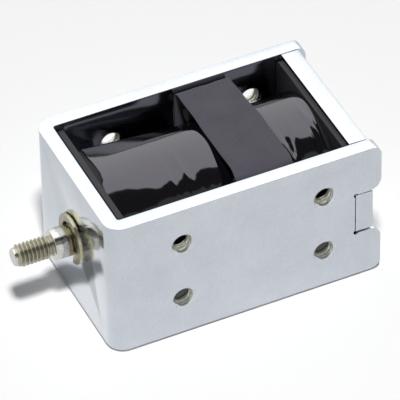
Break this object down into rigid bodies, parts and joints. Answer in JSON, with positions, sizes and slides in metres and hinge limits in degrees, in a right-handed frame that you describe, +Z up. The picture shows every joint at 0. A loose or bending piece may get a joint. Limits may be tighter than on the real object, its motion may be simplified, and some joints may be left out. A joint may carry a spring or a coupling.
{
  "type": "push pull solenoid",
  "caption": "Open box-frame push-pull solenoid: plated steel yoke, taped coil, sprung plunger with a threaded push rod and a tapped tail.",
  "frame": {"origin": "centre of the part's box, on the plane of the frame's bottom edges", "axes": "+X along the working axis towards the plunger's tail, -X towards the threaded push rod; +Y towards one side wall; +Z up, out of the frame's open side"},
  "size_m": [0.0616, 0.031, 0.027],
  "materials": {
    "zinc_steel": "bright zinc plate, fine rolled grain",
    "plate_steel": "bright zinc plate",
    "core_steel": "turned soft iron, nickel flash",
    "bronze": "sintered bronze, oiled",
    "brass": "drawn tube, bright",
    "nylon": "moulded nylon, satin black",
    "fibre": "vulcanised fibre, matte",
    "film": "clear amber polyester film",
    "enamel_copper": "enamelled copper wire, glossy",
    "black_film": "glossy black film, wrinkled",
    "sleeve": "woven insulating sleeve",
    "band_cloth": "matte dark grey cloth tape",
    "spring_steel": "drawn spring wire",
    "plunger_steel": "ground soft iron, nickel plated",
    "rod_steel": "stainless rod, fine turned",
    "shim_bronze": "phosphor bronze sheet",
    "ring_steel": "blued and yellow-passivated spring steel"
  },
  "bodies": {
    "frame_and_coil": {"yoke_frame": "zinc_steel", "rear_plate": "plate_steel", "pole_core": "core_steel", "rod_bush": "bronze", "guide_tube": "brass", "coil_bobbin": "nylon", "end_play_washer": "fibre", "barrel_film": "film", "magnet_winding": "enamel_copper", "coil_tape": "black_film", "splice_sleeves": "sleeve", "insulation_band": "band_cloth", "return_spring": "spring_steel"},
    "plunger_and_rod": {"plunger": "plunger_steel", "push_rod": "rod_steel", "residual_washer": "shim_bronze", "retaining_ring": "ring_steel"}
  },
  "joints": [
    {"name": "rod_stroke", "type": "slide", "parent": "frame_and_coil", "child": "plunger_and_rod", "axis": [-1, 0, 0], "range_m": [0, 0.005], "stiffness_N_per_m": 150, "springref_m": -0.006, "deforming": ["return_spring"]}
  ]
}
